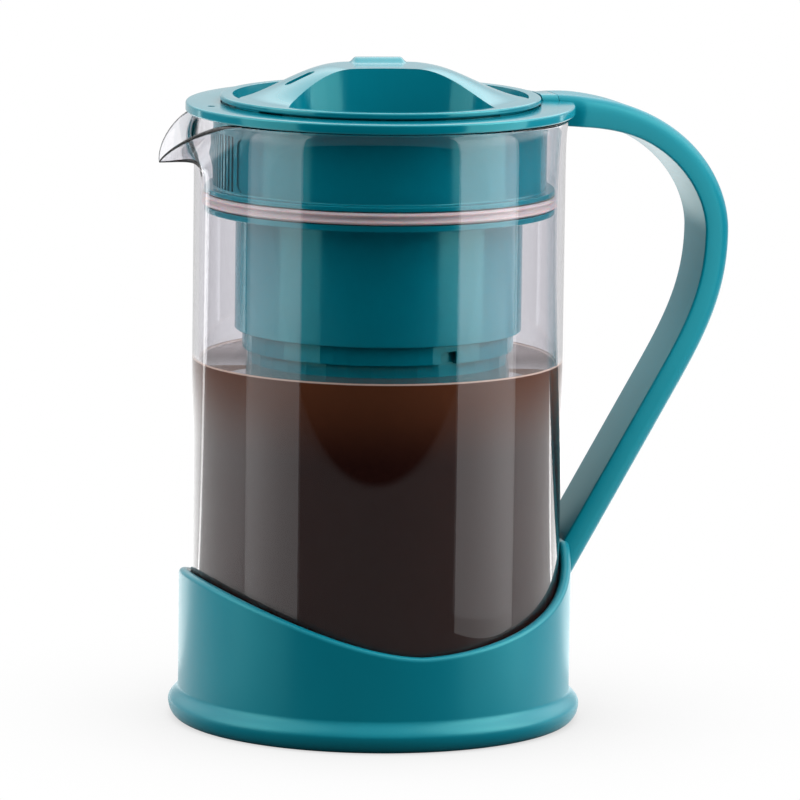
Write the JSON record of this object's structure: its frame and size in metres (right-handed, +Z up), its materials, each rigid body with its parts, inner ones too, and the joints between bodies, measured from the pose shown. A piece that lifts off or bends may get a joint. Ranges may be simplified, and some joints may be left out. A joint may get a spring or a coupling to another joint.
{
  "type": "cold brew coffee maker",
  "caption": "Glass cold brew jug in a plastic holder with loop handle, lifting lid, turning pour knob and hanging fine mesh filter.",
  "frame": {"origin": "centre of the holder's underside, on the surface that it stands on", "axes": "+Z up; +X from the jug's axis towards the handle, -X towards the spout; the jug, holder and lid are mirror symmetric about the XZ plane, the knob's grip is turned 11.5 degrees from it"},
  "size_m": [0.179, 0.1242, 0.2001],
  "materials": {
    "holder_plastic": "satin moulded teal polypropylene",
    "borosilicate_glass": "clear, fire polished rim",
    "lid_plastic": "satin moulded teal polypropylene",
    "silicone": "translucent grey silicone",
    "knob_plastic": "satin moulded teal polypropylene",
    "filter_plastic": "satin moulded teal polypropylene",
    "steel_mesh": "fine woven stainless steel mesh"
  },
  "bodies": {
    "holder": {"base_with_handle": "holder_plastic", "glass_carafe": "borosilicate_glass"},
    "lid": {"lid_body": "lid_plastic", "lid_gasket": "silicone", "shutter_seal": "silicone", "filter_top_ring": "filter_plastic"},
    "knob": {"knob_cap": "knob_plastic", "shutter_sleeve": "lid_plastic"},
    "filter": {"filter_cage": "filter_plastic", "filter_mesh_sleeve": "steel_mesh", "filter_mesh_floor": "steel_mesh", "filter_bottom_cap": "filter_plastic"}
  },
  "joints": [
    {"name": "lid_lift", "type": "slide", "parent": "holder", "child": "lid", "axis": [0, 0, 1], "range_m": [0, 0.165]},
    {"name": "knob_turn", "type": "hinge", "parent": "lid", "child": "knob", "pos_m": [0, 0, 0.1877], "axis": [0, 0, 1], "range_deg": [0, 90]},
    {"name": "filter_twist", "type": "hinge", "parent": "lid", "child": "filter", "pos_m": [0, 0, 0.1135], "axis": [0, 0, 1], "range_deg": [-30, 0]}
  ]
}
